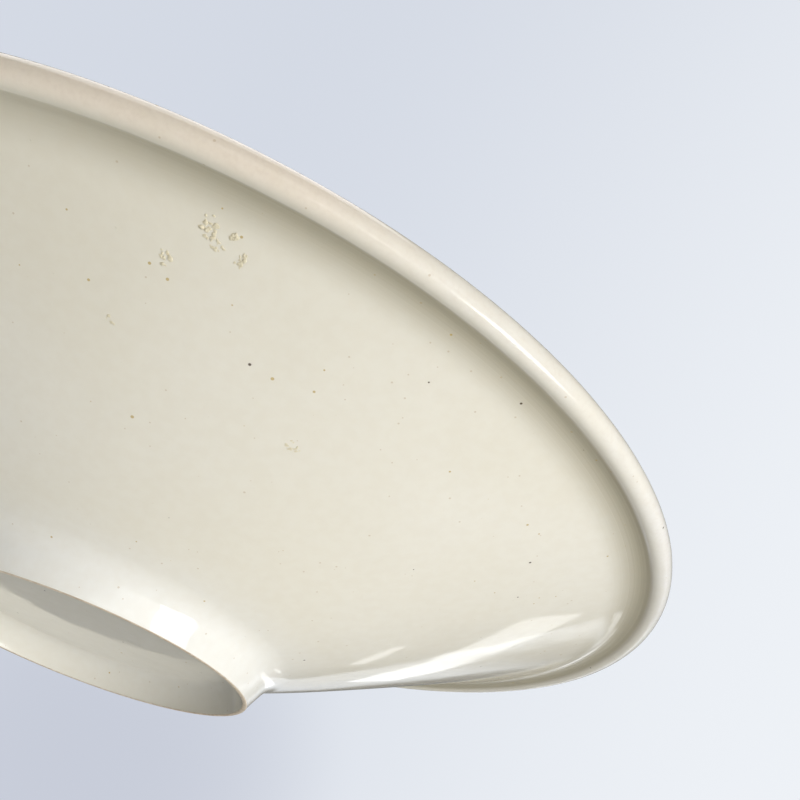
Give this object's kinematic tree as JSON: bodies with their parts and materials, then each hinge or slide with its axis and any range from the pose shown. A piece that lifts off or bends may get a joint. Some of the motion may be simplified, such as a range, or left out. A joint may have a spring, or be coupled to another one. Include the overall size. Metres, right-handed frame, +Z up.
{
  "type": "evaporating dish",
  "caption": "Shallow round evaporating dish of cream glazed ceramic, with a flared wall, a rolled rim and a turned foot ring.",
  "frame": {"origin": "centre of the circle the foot rests on, at the resting face", "axes": "+Z up along the dish's axis; the dish is round, so X and Y are free"},
  "size_m": [0.25, 0.25, 0.0442],
  "materials": {
    "dish_body": "matt fired clay, under the glaze",
    "rim_roll": "matt fired clay, under the glaze",
    "foot_ring": "matt fired clay, bare along the resting edge",
    "inside_glaze": "glossy cream glaze with fine brown specks",
    "rim_glaze": "glossy cream glaze, pinkish where it thins on the roll",
    "outside_glaze": "glossy cream glaze with fine brown specks and small raised crumbs",
    "foot_glaze": "glossy cream glaze",
    "recess_glaze": "glossy olive-grey cream glaze"
  },
  "bodies": {
    "root": {"dish_body": "dish_body", "rim_roll": "rim_roll", "foot_ring": "foot_ring", "inside_glaze": "inside_glaze", "rim_glaze": "rim_glaze", "outside_glaze": "outside_glaze", "foot_glaze": "foot_glaze", "recess_glaze": "recess_glaze"}
  },
  "joints": []
}
